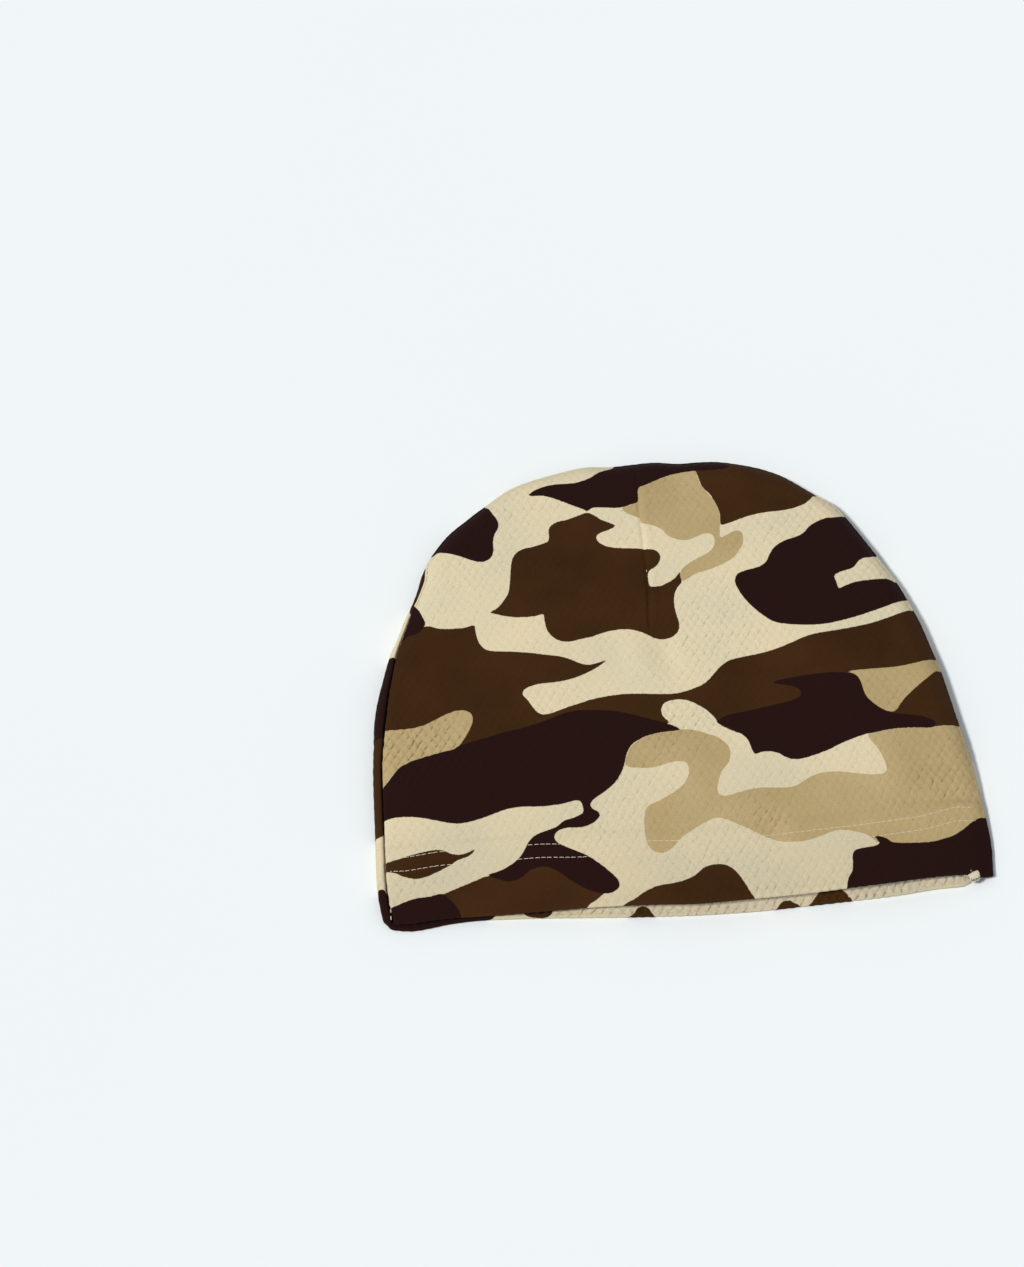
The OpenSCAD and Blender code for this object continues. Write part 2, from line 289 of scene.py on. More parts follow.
def front_features(x, y):
    """The dart's groove, the hem's rows and ridge, and the creases."""
    over_hem = y - front_hem(x)
    off = x - dart_x(y)
    sewn = smooth((y - DART_TIP + 2) / 12)
    depth = 0.5 + 0.6 * bell((y - DART_TIP - 9) / 13)
    z = sewn * (-depth * bell(off / 0.8) + 0.25 * bell((off - 2.6) / 1.8))
    z -= 1.3 * bell((x + 2.3) / 0.6) * bell((y - DART_TIP) / 2.8)
    # the cloth buckles below the dart's tip
    z += 0.8 * bell((x + 9) / 6) * bell((y - 116) / 9) - 0.9 * bell((x - 3) / 5) * bell((y - 113) / 9)
    z += 0.4 * (1 - smooth((over_hem - HEM_DEPTH - 1) / 3))
    row = over_hem - upper_row(x)
    pulled = 0.75 + 0.25 * np.cos(2 * math.pi * x / STITCH)
    z -= 0.14 * pulled * (bell(row / 0.8) + bell((row + GAUGE) / 0.8))
    right = smooth((x - 62) / 20)
    # at the right the stitched line stands proud of the cloth above it
    z += (0.12 + 0.4 * right) * bell((row - 0.4) / 2.4)
    z -= 0.5 * smooth((x - 98) / 12) * bell((row - 5.2) / 2.4)
    # a pinch in the cloth over the hem
    z -= 1.1 * bell((x - 36) / 5) * bell((y - 31) / 4)
    crumple = bell((x - 38) / 6) * bell((y - 35) / 6)
    z += 0.3 * crumple * np.sin(2 * math.pi * (0.85 * x - 0.6 * y) / 3.6)
    return z


def front_height(x, y):
    """Height of the middle of the front's cloth."""
    d = segment_distance(np.stack([np.ravel(x), np.ravel(y)], -1), silhouette)
    d = d.reshape(np.shape(x))
    return front_base(x, y, d) + front_features(x, y) * smooth(d / 3)


def under_front(x, y, gap):
    """Height of a thing that is a gap below the front's two layers."""
    return front_height(x, y) - FOLD_STEP - CLOTH / 2 - gap


def level_at(z):
    """A function for the height of a thing that lies level."""
    return lambda x, y: np.full(len(x), z)


def stations(length, ends, dart=False):
    """Shares of a length for the mesh's lines, closer together near some ends and the dart."""
    s = np.linspace(0, length, 4000)
    cell = np.full(len(s), CELL)
    for end in ends:
        cell -= (CELL - EDGE_CELL) * np.exp(-np.abs(s - end * length) / 2.5)
    if dart:
        cell -= 0.36 * bell((s - 0.495 * length) / 2.6)
    steps = np.concatenate([[0], np.cumsum((1 / cell)[1:] * np.diff(s))])
    count = int(round(steps[-1]))
    return np.interp(np.linspace(0, steps[-1], count + 1), steps, s) / length


def patch(bottom, right, top, left, u, v):
    """A grid of points between four boundary lines, each sampled at the grid's shares."""
    b, t = resample(bottom, u), resample(top, u)
    r, l = resample(right, v), resample(left, v)
    uu = u[None, :, None]
    vv = v[:, None, None]
    ruled = (1 - vv) * b[None] + vv * t[None] + (1 - uu) * l[:, None] + uu * r[:, None]
    corners = ((1 - uu) * (1 - vv) * b[0] + uu * (1 - vv) * b[-1]
               + (1 - uu) * vv * t[0] + uu * vv * t[-1])
    return ruled - corners


def grid_rim(rows, columns):
    """Indices of a grid's rim: along the bottom, up the right, back along the top, down."""
    at = np.arange(rows * columns).reshape(rows, columns)
    return np.concatenate([at[0, :-1], at[:-1, -1], at[-1, :0:-1], at[:0:-1, 0]])


class Cloth:
    """A panel's cloth as one closed mesh: a fine grid, and loops from its rim back to a middle."""

    def __init__(self, grid):
        rows, columns = grid.shape[:2]
        self.parts = [grid.reshape(-1, 3)]
        self.cloth = []
        self.printed = []
        self.size = rows * columns
        at = np.arange(self.size).reshape(rows, columns)
        self.faces = [np.stack([at[:-1, :-1], at[:-1, 1:], at[1:, 1:], at[1:, :-1]],
                               -1).reshape(-1, 4)]
        self.rim = grid_rim(rows, columns)
        self.last = self.rim

    def flat(self, xy, printed):
        """Notes where the newest points lie on the flat cloth, and which side they are on."""
        self.cloth.append(np.asarray(xy, float).reshape(-1, 2))
        self.printed.append(np.full(len(self.cloth[-1]), float(printed)))

    def loop(self, points, xy, printed):
        count = len(points)
        now = self.size + np.arange(count)
        a, b = self.last, np.roll(self.last, -1)
        c, d = np.roll(now, -1), now
        self.faces.append(np.stack([b, a, d, c], -1))
        self.parts.append(points)
        self.flat(xy, printed)
        self.last = now
        self.size += count

    def close(self, middle, xy):
        self.parts.append(np.array([middle], float))
        self.flat([xy], 0)
        a, b = self.last, np.roll(self.last, -1)
        self.fan = np.stack([b, a, np.full(len(a), self.size)], -1)
        self.size += 1

    def object(self, name, patches, side=1):
        faces = np.vstack(self.faces).tolist() + self.fan.tolist()
        piece = solid(name, np.vstack(self.parts), faces)
        flat = np.vstack(self.cloth)
        store_print(piece.data, flat, np.concatenate(self.printed), patches, side)
        return piece


def linked(name, data):
    piece = bpy.data.objects.new(name, data)
    bpy.context.scene.collection.objects.link(piece)
    return piece


def solid(name, points, faces, rounded=True):
    """A piece with the given points of the cap's frame."""
    mesh = bpy.data.meshes.new(name)
    mesh.from_pydata(row_frame(points).tolist(), [], faces)
    mesh.update()
    mesh.polygons.foreach_set("use_smooth", np.full(len(faces), rounded))
    return linked(name, mesh)


def store(mesh, name, values):
    """Keeps one number, or up to three, for each point of a mesh."""
    values = np.asarray(values, np.float32)
    if values.ndim == 1:
        mesh.attributes.new(name, "FLOAT", "POINT").data.foreach_set("value", values)
    else:
        padded = np.zeros((len(values), 3), np.float32)
        padded[:, :values.shape[1]] = values
        mesh.attributes.new(name, "FLOAT_VECTOR", "POINT").data.foreach_set(
            "vector", padded.ravel())


# ---- print
# Outlines of the print's patches on the flat cloth of the front, which run on past its edges
FRONT_BROWN = [
    # middle of the left, ending at the dart
    [(-22.9, 187), (-27.5, 185.8), (-31.7, 184.5), (-36.3, 183.7), (-39, 182), (-40, 180.3), (-40.7, 174.5),
     (-43.3, 173.4), (-48, 172.2), (-51.7, 171.6), (-54.6, 170), (-56.7, 167), (-59, 154), (-60, 150),
     (-65, 143.3), (-68.3, 141.3), (-65.8, 140.2), (-61.7, 138.7), (-56.7, 137.7), (-50, 137.5),
     (-46.3, 138), (-46, 134.5), (-45.4, 130.3), (-43.3, 126.6), (-40.4, 124.5), (-36.7, 123.8),
     (-31, 124.9), (-28, 125.3), (-20, 127.6), (-13.3, 128.1), (-8.3, 127), (-4.2, 124.9), (-0.8, 122.8),
     (2.9, 122.1), (6.7, 123), (9.2, 125.3), (10, 128.7), (9.3, 133.7), (9, 138.7), (9.8, 143.7),
     (11.7, 147), (13.2, 148.7), (13, 153.7), (10.8, 151.2), (4.2, 147.8), (0.2, 147.8), (-0.4, 149),
     (-0.4, 154), (0.2, 155.3), (2.9, 157), (5.2, 160), (5.6, 162.8), (4.2, 165), (-0.4, 166.2),
     (-15, 168.5), (-18.3, 170.3), (-20.2, 172.8), (-19.8, 175.2), (-14.2, 177.4), (-11.7, 178.9),
     (-17.5, 182.8), (-20, 185.3)],
    # right of the crown
    [(25.4, 204.2), (23, 206), (24, 222), (45, 222), (80, 210), (82, 192), (76.5, 190), (74.6, 189),
     (72.9, 186.6), (70, 184), (65.8, 182.2), (60, 181), (53.3, 180.6), (47.5, 179.7), (42.5, 178.3),
     (37.5, 176.6), (33.2, 175.8), (33.2, 182), (30, 192), (27.5, 195.3)],
    # the broad band across the cap
    [(-128, 132), (-106, 134.5), (-98, 137.3), (-94, 137.3), (-91, 136), (-86.7, 135.2), (-80, 135),
     (-75.4, 135.6), (-75.2, 133), (-74.6, 128.7), (-73.3, 125.3), (-71, 123), (-60, 121), (-53, 119.7),
     (-47, 118.3), (-41, 117), (-37, 115.3), (-33.3, 113.3), (-30, 112.2), (-26.7, 112.7), (-22, 114),
     (-25, 111.6), (-30, 108.8), (-35, 106.8), (-40, 105.5), (-45, 104.9), (-50, 104.7), (-54, 104),
     (-57.5, 102.4), (-58.3, 100.3), (-56.7, 97.8), (-52.5, 91), (-49.6, 90.2), (-40, 93), (-35, 94.4),
     (-30, 95.8), (-16.7, 97.2), (1.7, 95.6), (6.7, 95.8), (15.8, 98.6), (19.2, 101), (25, 107),
     (29, 109.4), (33, 110.2), (46, 112.4), (56, 115.8), (60, 117.4), (65, 118.9), (78, 120.3), (90, 122.2),
     (102, 126.2), (111, 130.5), (130, 138), (130, 73), (109, 71), (85, 73), (60, 70), (36, 72),
     (20.4, 80.4), (20, 82), (16.7, 86.6), (10, 91.5), (5.8, 92.6), (1.7, 92.2), (-0.8, 91), (-2, 88.4),
     (-1.9, 86), (-0.8, 84), (0.6, 82.3), (-10, 80), (-40, 82), (-80, 76), (-110, 74), (-128, 80)],
    # the hem's left
    [(-104, 13), (-98, 15.5), (-85, 20), (-80, 21.6), (-74, 22), (-62, 24.5), (-52, 24), (-40, 17),
     (-31, 10.6), (-33.6, 8.8), (-37, 6.2), (-41, 3.4), (-41, -10), (-104, -10)],
    # the lens at the left
    [(-124, 29.7), (-114, 32.2), (-110, 33.2), (-100, 34.5), (-96.5, 34), (-93.5, 32.4), (-90, 31.7),
     (-87, 32.2), (-83.4, 33.6), (-86, 31), (-91, 29.4), (-95, 27.2), (-104, 23.6), (-108.3, 23),
     (-113.3, 24.4), (-117, 26.4), (-120, 27.2), (-124, 28)],
    # the hem's middle
    [(-27, 2), (-21.7, 5), (-16.7, 8), (-11.7, 9.7), (-5, 10.3), (0, 11.3), (4.2, 13.3), (7.5, 15.8),
     (11.7, 16.8), (15.8, 16.3), (18.8, 14.4), (21.3, 11), (23.3, 6.9), (25, 2.7), (26.3, 0), (26.3, -10),
     (-30, -10)]]
FRONT_TAN = [
    # right of the dart
    [(-0.4, 197.4), (3, 198.5), (10, 201.6), (17, 203.7), (21, 204.3), (25.4, 204.7), (26, 202), (27, 197),
     (32, 187), (33, 182), (33, 178), (32.3, 169.3), (35, 170.5), (38.5, 172), (40.5, 172), (41.7, 169.5),
     (41, 165), (39, 162), (36, 158.5), (26, 154), (20, 152.5), (13.8, 149.5), (13, 152), (14, 155),
     (20, 159.3), (24, 161.2), (27.5, 163.5), (29.2, 166.3), (29.3, 170), (28.3, 171.4), (26, 171.8),
     (22.5, 170.8), (18.5, 169.3), (15, 169.5), (11.7, 170.8), (9.6, 172.4), (8, 175), (5, 177.2),
     (-0.5, 179.3), (-0.8, 181), (-0.8, 195)],
    # left of the dart
    [(-8, 187.6), (-4.2, 188.7), (-1, 190), (-0.7, 189.4), (-1, 182.2), (-3.3, 183), (-5.8, 184.5)],
    # the left edge
    [(-123, 91), (-117, 90.3), (-111, 89.6), (-105, 89.5), (-100, 90.3), (-90, 94.4), (-86, 95.4),
     (-83, 95.1), (-80.8, 93.9), (-79.8, 91.8), (-80.4, 88.2), (-86.7, 78.5), (-89, 77.4), (-93, 76.8),
     (-99, 75.7), (-109.6, 73), (-115, 68.4), (-117.5, 65.5), (-120, 63.4), (-124, 61)],
    # the right edge
    [(76.7, 99.2), (98, 100.2), (110, 103), (116, 105.4), (124, 109), (124, 97), (116, 99.3), (110, 94.8),
     (100, 86.2), (96.7, 82.6), (94.6, 79.8), (93, 79), (90.8, 79.4), (88.3, 80.8), (85, 84), (82.8, 87.4),
     (81.3, 95.2), (79.6, 97.9)],
    # the big one at the lower right
    [(130, 76), (119.6, 72.8), (110, 71.6), (108, 71.2), (100, 71.3), (91, 71), (85, 70), (81.3, 69.4),
     (81.8, 67), (83.6, 64.2), (85.4, 60.6), (87, 53.4), (85.8, 51.7), (82.5, 51.2), (74, 52.3), (70, 53.2),
     (65, 53.8), (60, 53.6), (56, 52.5), (52.5, 50.8), (49, 48.8), (45, 48.3), (35, 49.2), (30, 48.9),
     (21.7, 47.2), (20, 46.9), (17.6, 47.6), (16.8, 49.3), (18.8, 56.6), (20.8, 59.6), (23.2, 62.4),
     (23.8, 69), (19.2, 74.2), (16, 75.6), (11.7, 77.4), (6.7, 78.4), (0, 77.9), (-9, 76.6), (-16.3, 72.2),
     (-18, 69), (-19.4, 65.4), (-18.6, 63.4), (-14, 62.4), (-9, 62), (0, 63.9), (3.3, 64), (5.6, 62.9),
     (6.3, 60.4), (5.6, 57), (3.3, 53.6), (0, 51), (-7.5, 47), (-11.7, 45.3), (-13.5, 43), (-14.6, 32.5),
     (-14, 28.3), (-12.2, 25.3), (-9.6, 24), (-7, 24.2), (-4, 26), (-0.8, 29), (2.5, 31.5), (13.3, 37.1),
     (16.7, 37.2), (38.3, 24.7), (42.5, 24), (48.3, 23.7), (53.3, 24.6), (62.5, 27.3), (67.5, 27),
     (75, 24.4), (77.5, 22), (82.5, 19), (100, 16), (120, 22), (130, 32)]]
FRONT_PLUM = [
    # the shoulder at the left
    [(-65.8, 196.6), (-64.2, 194), (-63.3, 191.6), (-61, 186.2), (-61.3, 183.3), (-63.3, 179.5),
     (-64, 176.6), (-64.3, 172), (-65.4, 168.7), (-68.8, 166.7), (-71.7, 167), (-80, 171), (-84.6, 173),
     (-88, 174.5), (-91, 173.8), (-100, 182), (-84, 203), (-70, 208)],
    # the crown
    [(-46.9, 198.7), (-44.2, 201.2), (-40, 202.8), (-35, 203.5), (-30, 203.3), (-25.8, 203.5), (-20, 205.3),
     (-15.8, 208.3), (-12.5, 209.7), (-9.2, 211.6), (-9, 224), (34, 224), (36, 211.5), (39.6, 208.6),
     (40.4, 206.8), (38.6, 205.4), (30, 204.6), (25.4, 204.7), (17, 203.7), (10, 201.6), (3, 198.5),
     (0.2, 197.4), (-0.3, 195.5), (-1, 190.4), (-5, 188.8), (-9, 188), (-20, 189.3), (-21.5, 188.7),
     (-22.8, 187.8), (-24.2, 188.8), (-27.5, 190.8), (-40, 197.7)],
    # the right shoulder
    [(95, 184), (88, 179.6), (83.3, 177), (76.7, 175.6), (70.4, 172), (68, 169.3), (65, 167.4), (60, 165.8),
     (56.7, 164.3), (53.8, 162), (51.7, 159), (50, 155.8), (47.5, 153.7), (40, 151.8), (37, 150.5),
     (35.8, 148.3), (35.8, 145.3), (39.6, 136.6), (46.7, 128.3), (50.8, 125.6), (68.3, 123.3), (80, 124.9),
     (93.3, 128.7), (105, 133.3), (107.5, 134.9), (118, 140), (114, 147), (106, 144.6), (103.3, 144.1),
     (100.8, 144.7), (96.7, 144.3), (86.7, 143.3), (81.7, 141.6), (79, 140.5), (78.3, 143.7), (77.9, 146.6),
     (80, 148.3), (83.3, 149.3), (86.7, 150.8), (89.2, 153.7), (91.7, 155.3), (95, 156.2), (99, 158.4),
     (110, 164)],
    # the big one at the left, its neck and its lobe at the hem
    [(-128, 60), (-121, 63), (-117.5, 65.5), (-112.5, 71), (-109.6, 73), (-93, 76.8), (-89, 77.4),
     (-86.7, 78.6), (-72, 82.2), (-68, 83.2), (-60, 84.6), (-50, 87.4), (-42, 90.2), (-37, 91), (-27, 90.4),
     (-20, 89.2), (-4, 83.2), (0, 81.6), (5, 78.4), (1.7, 78), (-3.3, 77.7), (-8.3, 76.8), (-12.5, 75.2),
     (-15.8, 73), (-17.9, 70), (-20.2, 63.4), (-22, 59.9), (-24.6, 56.5), (-27.8, 53.9), (-34.4, 49.6),
     (-35.4, 47.8), (-34.4, 46), (-32.4, 44.4), (-32, 42.9), (-33.3, 41.2), (-36.2, 39.4), (-40, 38.6),
     (-46, 39), (-49.6, 38), (-51.2, 35.8), (-50.8, 33.8), (-48.3, 31.6), (-40, 26.8), (-35.8, 23.6),
     (-27.6, 14.2), (-27.2, 11.2), (-28.6, 9.6), (-31.4, 8.6), (-34.4, 8.8), (-38, 10.2), (-42.5, 13),
     (-47, 16.7), (-51, 20.4), (-55, 22.8), (-59, 23.2), (-62.4, 22.2), (-66, 19.6), (-69, 18.6),
     (-72, 18.6), (-75, 19.8), (-79.4, 21.9), (-74, 23.6), (-69, 26), (-65, 29.5), (-61.7, 34.6),
     (-58.6, 37.3), (-50, 40), (-46.7, 42.2), (-42.4, 43.2), (-38.8, 44.8), (-38.4, 46.4), (-39.6, 50.2),
     (-46.7, 49.6), (-55, 49.3), (-63, 50), (-70, 49.4), (-78, 47), (-85, 45.4), (-91, 45.2), (-105, 49),
     (-112, 50), (-117, 49.9), (-128, 48)],
    # the hem's left corner
    [(-128, 10), (-119.8, 11.6), (-110, 14.6), (-104, 15), (-98, 15.6), (-96, 13.3), (-94, 11), (-91.5, 5),
     (-92, -10), (-128, -10)],
    # a small one under the left shoulder
    [(-101.5, 150.5), (-99.6, 149), (-98, 146.2), (-96.7, 142.4), (-95.7, 138.7), (-96.7, 137),
     (-98.3, 135), (-100.4, 134.1), (-103, 134), (-106.5, 131.5), (-112, 130), (-108, 144)],
    # the middle of the right
    [(20.4, 81), (25, 83.6), (33.3, 85), (47.5, 87.4), (53.3, 88.6), (56.3, 90.4), (56.2, 92.6), (54, 94.6),
     (45.4, 97.4), (60, 99.6), (72.5, 99.5), (79.8, 97.6), (81.3, 95.2), (82.8, 87.4), (85, 84), (91, 79),
     (100, 77.2), (105, 76.4), (108.3, 75), (110.2, 73.2), (109, 71.4), (100, 71.3), (91, 71), (85, 70),
     (80, 69.3), (70, 66.2), (65, 64), (54, 60.9), (49.6, 60.8), (46.7, 61.9), (43.3, 64.4), (40, 65.4),
     (36.7, 65.4), (34, 64.9), (32, 71.4), (30, 74.2), (23.3, 78.9)],
    # the hem's right
    [(77.7, 24), (82.5, 22.4), (84.6, 20.6), (100, 19.8), (105, 20.8), (110, 22.4), (114.2, 25),
     (121.7, 30.4), (126, 31.6), (134, 33), (134, -10), (63.7, -10), (63.9, 3), (65, 6.4), (66.7, 9),
     (67.4, 12.4), (67.8, 16), (69, 18), (77.5, 19.5), (79.4, 20.3)]]
FRONT_PRINT = {"brown": FRONT_BROWN, "tan": FRONT_TAN, "plum": FRONT_PLUM}

# The same for the back, seen through the front; a hem's turn-up runs below y = 0
BACK_BROWN = [
    [(-130, 151), (-106, 150.5), (-98, 154), (-90, 160), (-80, 158), (-70, 163), (-66, 172), (-72, 182),
     (-84, 192), (-100, 202), (-130, 190)],
    [(-130, 96), (-130, 44), (-118, 45), (-108, 49), (-96, 46), (-84, 52), (-70, 60), (-50, 62), (-34, 70),
     (-30, 82), (-44, 90), (-64, 92), (-84, 92), (-100, 98)],
    [(-69, -13), (-68, -3), (-66.4, 1.4), (-59, 2.8), (-56, 1.4), (-54.5, -3), (-53, -13)],
    [(-22.6, -1.4), (-20.6, -4), (-18.6, -4.8), (-16.6, -4), (-14.8, -1.6), (-13.2, 0.4), (-12, 6),
     (-6, 14), (-14, 22), (-24, 12), (-26, 3)],
    [(33.5, 0.5), (35.2, -1.6), (37.8, -4.2), (40, -5), (42, -4), (45, -1.4), (46, 6), (38, 14), (32, 8)],
    [(47, 1), (50.5, -3), (54, -7), (58, -9), (62, -7.5), (65, -3.5), (67.5, 2), (72, 10), (80, 16),
     (96, 18), (112, 24), (134, 22), (134, 42), (108, 44), (88, 40), (66, 30), (54, 14)],
    [(-40, 130), (-20, 138), (0, 134), (16, 122), (36, 116), (54, 122), (60, 136), (48, 150), (30, 156),
     (14, 166), (-6, 170), (-26, 162), (-44, 150)],
    [(70, 150), (84, 146), (96, 152), (104, 166), (94, 200), (74, 206), (66, 186), (60, 166)]]
BACK_TAN = [
    [(-20, 30), (0, 40), (20, 38), (40, 50), (52, 66), (44, 80), (24, 78), (10, 66), (-8, 60), (-22, 48)],
    [(134, 112), (104, 110), (92, 116), (86, 128), (96, 138), (112, 140), (134, 136)],
    [(-92, 128), (-76, 124), (-62, 130), (-56, 142), (-66, 150), (-82, 146), (-94, 138)],
    [(-60, 190), (-44, 180), (-28, 184), (-24, 194), (-36, 204), (-52, 212)]]
BACK_PLUM = [
    [(-130, 127.5), (-112, 126), (-104, 120), (-96, 112), (-84, 110), (-70, 114), (-60, 108), (-62, 98),
     (-74, 92), (-90, 94), (-104, 88), (-115, 88), (-130, 90)],
    [(-130, 19), (-118, 18), (-106, 13), (-92, 8), (-80, 4), (-77, 0), (-79, -6), (-78, -14), (-94, -34),
     (-130, -30)],
    [(134, 60), (104, 64), (84, 60), (66, 70), (60, 84), (70, 96), (88, 100), (104, 110), (134, 112)],
    [(-50, 206), (-30, 192), (-10, 196), (14, 190), (34, 194), (50, 186), (62, 190), (70, 224), (-50, 226)],
    [(-40, 104), (-24, 98), (-8, 104), (10, 98), (24, 90), (34, 98), (28, 110), (10, 116), (-12, 118),
     (-32, 116)]]
BACK_PRINT = {"brown": BACK_BROWN, "tan": BACK_TAN, "plum": BACK_PLUM}
REACH = 2.5   # how far from a patch's edge its distance is worked out


def print_distance(xy, outlines):
    """Distance of each point into the nearest patch, below zero outside."""
    out = np.full(len(xy), -REACH)
    for outline in outlines:
        line = spline(outline, 7)
        line = np.vstack([line, line[:1]])
        near = np.all((xy > line.min(0) - REACH) & (xy < line.max(0) + REACH), axis=1)
        some = np.flatnonzero(near)
        d = np.minimum(segment_distance(xy[some], line), REACH)
        d = np.where(inside(xy[some], line), d, -d)
        out[some] = np.maximum(out[some], d)
    return out


def store_print(mesh, cloth, printed, patches, side):
    """Keeps all that the cloth's material needs to know at each point."""
    x, y = cloth.T
    store(mesh, "cloth", cloth)
    store(mesh, "knit", np.column_stack([*knit_phases(side * x, y), knit_strength(x, y)]))
    store(mesh, "printed", printed)
    for colour, outlines in patches.items():
        store(mesh, colour, print_distance(cloth, outlines))


# ---- panels
def dome_line(inset):
    """The silhouette moved in by a distance, one for each of its points."""
    return silhouette + outward(silhouette) * -np.asarray(inset)[..., None]


wrapping = (silhouette[:, 0] < LEFT_X) & (silhouette[:, 1] < WRAP[-1][0])
wrap = np.where(wrapping, wrap_width(silhouette[:, 1]), 0)
crown_from = int(np.argmax(silhouette[:, 1] >= SPLIT_Y))
crown_to = len(silhouette) - 1 - int(np.argmax(silhouette[::-1, 1] >= SPLIT_Y))


def panel_grid(dome, hem):
    """The flat grid of a panel inside its dome line and over its hem line."""
    start, end = dome[0], dome[-1]
    x = np.linspace(start[0], end[0], 400)
    bottom = np.stack([x, hem(x) + FOLD_R], -1)
    dome = dome.copy()
    dome[0, 1] = bottom[0, 1]
    dome[-1, 1] = bottom[-1, 1]
    left = dome[:crown_from + 1]
    top = dome[crown_from:crown_to + 1]
    right = dome[crown_to:][::-1]
    u = stations(lengths(bottom)[-1], (0, 1), dart=True)
    v = stations(lengths(left)[-1], (1,))
    return patch(bottom, right, top, left, u, v)


def rim_normals(rim, width=7):
    """Outward directions round a closed rim, smoothed at its corners."""
    n = -outward(rim, closed=True)
    kernel = np.hanning(width + 2)[1:-1]
    kernel /= kernel.sum()
    wrapped = np.vstack([n[-width:], n, n[:width]])
    n = np.stack([np.convolve(wrapped[:, k], kernel, "same")[width:-width] for k in (0, 1)], -1)
    return n / np.linalg.norm(n, axis=1)[:, None]


def turned_in(rim, n, hem):
    """Where the cloth's raw edge lies: a hem's depth up from the hem, an allowance elsewhere."""
    over = rim[:, 1] - hem(rim[:, 0]) - FOLD_R
    # up the sides the one goes over into the other
    fade = np.clip(1 - over / 60, 0, 1)
    side = np.stack([-np.sign(rim[:, 0]) * ALLOWANCE, HEM_DEPTH * fade ** 2], -1)
    ends = rim + np.where(fade[:, None] > 0, side, -n * ALLOWANCE)
    half = np.abs(rim[:, 0]).max()
    hem_end = np.stack([rim[:, 0] * (half - ALLOWANCE) / half, rim[:, 1] + HEM_DEPTH], -1)
    return np.where(over[:, None] < ON_HEM, hem_end, ends)


def front_cloth():
    grid = panel_grid(dome_line(wrap + FOLD_R), front_hem)
    x, y = grid[..., 0], grid[..., 1]
    z = front_height(x, y) + CLOTH / 2 + 0.15 * knit_relief(x, y)
    cloth = Cloth(np.dstack([x, y, z]))
    cloth.flat(grid, 1)
    rim = grid.reshape(-1, 2)[cloth.rim]
    n = rim_normals(rim)
    ends = turned_in(rim, n, front_hem)
    middle = front_height(*rim.T)

    def level(points, lift):
        return np.column_stack([points, front_height(*points.T) + lift])

    # round the fold
    for angle in np.radians([62, 36, 10, -18, -52, -90]):
        out = FOLD_R * math.cos(angle)
        up = FOLD_R * math.sin(angle) - FOLD_STEP / 2
        bulge = 0.12 * knit_relief(rim[:, 0], rim[:, 1] + FOLD_R * angle)
        points = rim + n * (out + bulge * math.cos(angle))[:, None]
        cloth.loop(np.column_stack([points, middle + up]),
                   rim + n * FOLD_R * (math.pi / 2 - angle), 1)
    # the printed side of the turn-up, its raw edge, and back to the fold
    for f in (0.04, 0.1, 0.2, 0.4, 0.7, 1):
        q = (1 - f) * rim + f * ends
        lift = -FOLD_STEP - CLOTH / 2 - 0.1 * knit_relief(*q.T)
        cloth.loop(level(q, lift), rim + (rim - q) + n * FOLD_R * math.pi, 1)
    for f in (1, 0.7, 0.4, 0.2, 0.06, 0):
        q = (1 - f) * rim + f * ends
        cloth.loop(level(q, CLOTH / 2 - FOLD_STEP), q, 0)
    cloth.loop(np.column_stack([rim + n * 0.05, middle - FOLD_STEP / 2]), rim, 0)
    for f in (0, 0.01, 0.03, 0.06, 0.1, 0.15, 0.22, 0.3, 0.4, 0.5, 0.6, 0.7, 0.8, 0.9):
        q = rim + f * (MIDDLE - rim)
        cloth.loop(level(q, -CLOTH / 2), q, 0)
    top = front_height(MIDDLE[:1], MIDDLE[1:])[0] - CLOTH / 2
    cloth.close((*MIDDLE, top), MIDDLE)
    return cloth.object("front_panel_cloth", FRONT_PRINT)


def under_features(x, y):
    """Grooves in the underside for the back's stitches."""
    over_hem = y - back_hem(x)
    z = 0.35 * bell(x / 0.7) * smooth((y - 132) / 4) * (1 - smooth((y - 205) / 3))
    for row in (upper_row(x), upper_row(x) - GAUGE):
        z += 0.35 * bell((over_hem - row) / 0.6)
    return z


